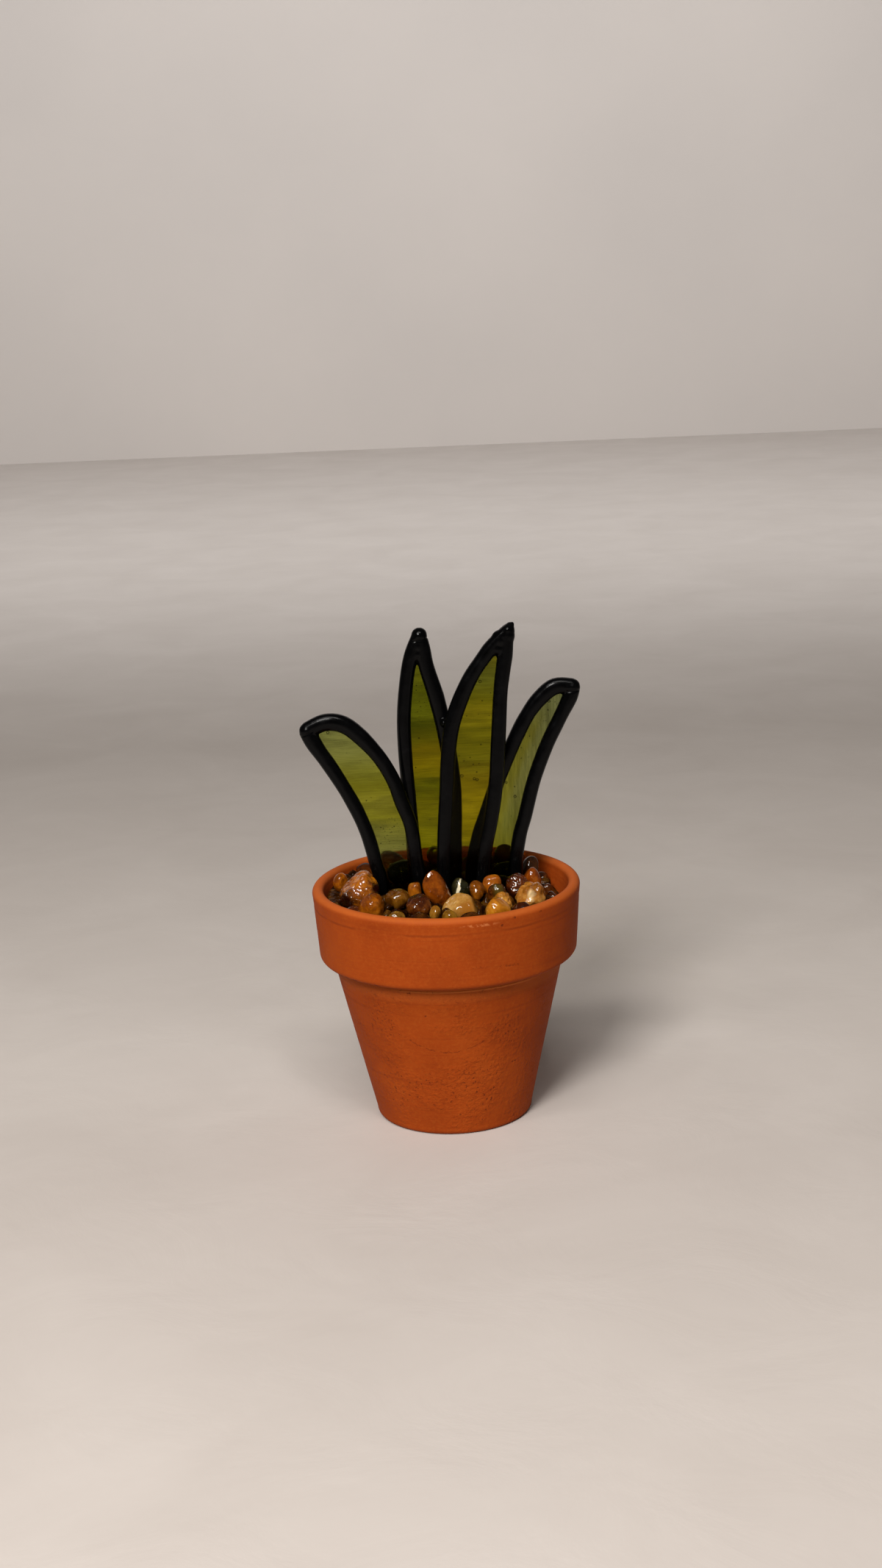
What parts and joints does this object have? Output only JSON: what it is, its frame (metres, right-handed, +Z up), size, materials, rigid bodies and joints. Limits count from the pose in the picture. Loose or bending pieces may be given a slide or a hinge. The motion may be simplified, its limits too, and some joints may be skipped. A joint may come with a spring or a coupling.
{
  "type": "stained glass snake plant in terracotta pot",
  "caption": "Small desk ornament: upright sword-shaped leaves of streaky green glass with black solder edges, standing in a clay pot topped with coated pebbles.",
  "frame": {"origin": "centre of the pot's base, on the surface it stands on", "axes": "+Z up along the pot's axis, leaves fan out along X, their flat faces look along Y, front is -Y"},
  "size_m": [0.0819, 0.079, 0.1479],
  "materials": {
    "clay": "matt fired terracotta, unglazed",
    "plaster": "dry matt plaster",
    "grit": "grit and small stones wet with glossy clear resin",
    "leaf_1_glass": "streaky olive art glass, lighter at the top",
    "leaf_2_glass": "streaky yellow-green art glass",
    "leaf_3_glass": "streaky yellow-green art glass with seed bubbles",
    "leaf_4_glass": "streaky green art glass, bluish at the right",
    "black_solder": "solder with black patina, waxed, soft gloss",
    "stone_amber": "golden brown pebble under clear glossy resin",
    "stone_russet": "orange-brown pebble under clear glossy resin",
    "stone_brown": "dark brown pebble under clear glossy resin",
    "stone_wine": "dark red pebble under clear glossy resin",
    "stone_cream": "beige pebble under clear glossy resin",
    "stone_slate": "grey-green pebble with pale veins under clear glossy resin"
  },
  "bodies": {
    "root": {"pot": "clay", "plaster_fill": "plaster", "grit_bed": "grit", "leaf_1_pane": "leaf_1_glass", "leaf_1_solder": "black_solder", "leaf_2_pane": "leaf_2_glass", "leaf_2_solder": "black_solder", "leaf_3_pane": "leaf_3_glass", "leaf_3_solder": "black_solder", "leaf_4_pane": "leaf_4_glass", "leaf_4_solder": "black_solder", "pebble_01": "stone_amber", "pebble_02": "stone_amber", "pebble_03": "stone_brown", "pebble_04": "stone_wine", "pebble_05": "stone_amber", "pebble_06": "stone_amber", "pebble_07": "stone_russet", "pebble_08": "stone_cream", "pebble_09": "stone_brown", "pebble_10": "stone_amber", "pebble_11": "stone_slate", "pebble_12": "stone_brown", "pebble_13": "stone_brown", "pebble_14": "stone_amber", "pebble_15": "stone_amber", "pebble_16": "stone_russet", "pebble_17": "stone_wine", "pebble_18": "stone_cream", "pebble_19": "stone_wine", "pebble_20": "stone_russet", "pebble_21": "stone_brown", "pebble_22": "stone_brown", "pebble_23": "stone_brown", "pebble_24": "stone_amber", "pebble_25": "stone_amber", "pebble_26": "stone_wine", "pebble_27": "stone_wine", "pebble_28": "stone_brown", "pebble_29": "stone_amber", "pebble_30": "stone_brown", "pebble_31": "stone_russet", "pebble_32": "stone_slate", "pebble_33": "stone_slate", "pebble_34": "stone_amber", "pebble_35": "stone_amber", "pebble_36": "stone_amber", "pebble_37": "stone_wine", "pebble_38": "stone_amber", "pebble_39": "stone_russet", "pebble_40": "stone_wine", "pebble_41": "stone_brown", "pebble_42": "stone_brown", "pebble_43": "stone_russet", "pebble_44": "stone_amber", "pebble_45": "stone_wine", "pebble_46": "stone_amber", "pebble_47": "stone_brown", "pebble_48": "stone_slate", "pebble_49": "stone_amber"}
  },
  "joints": []
}
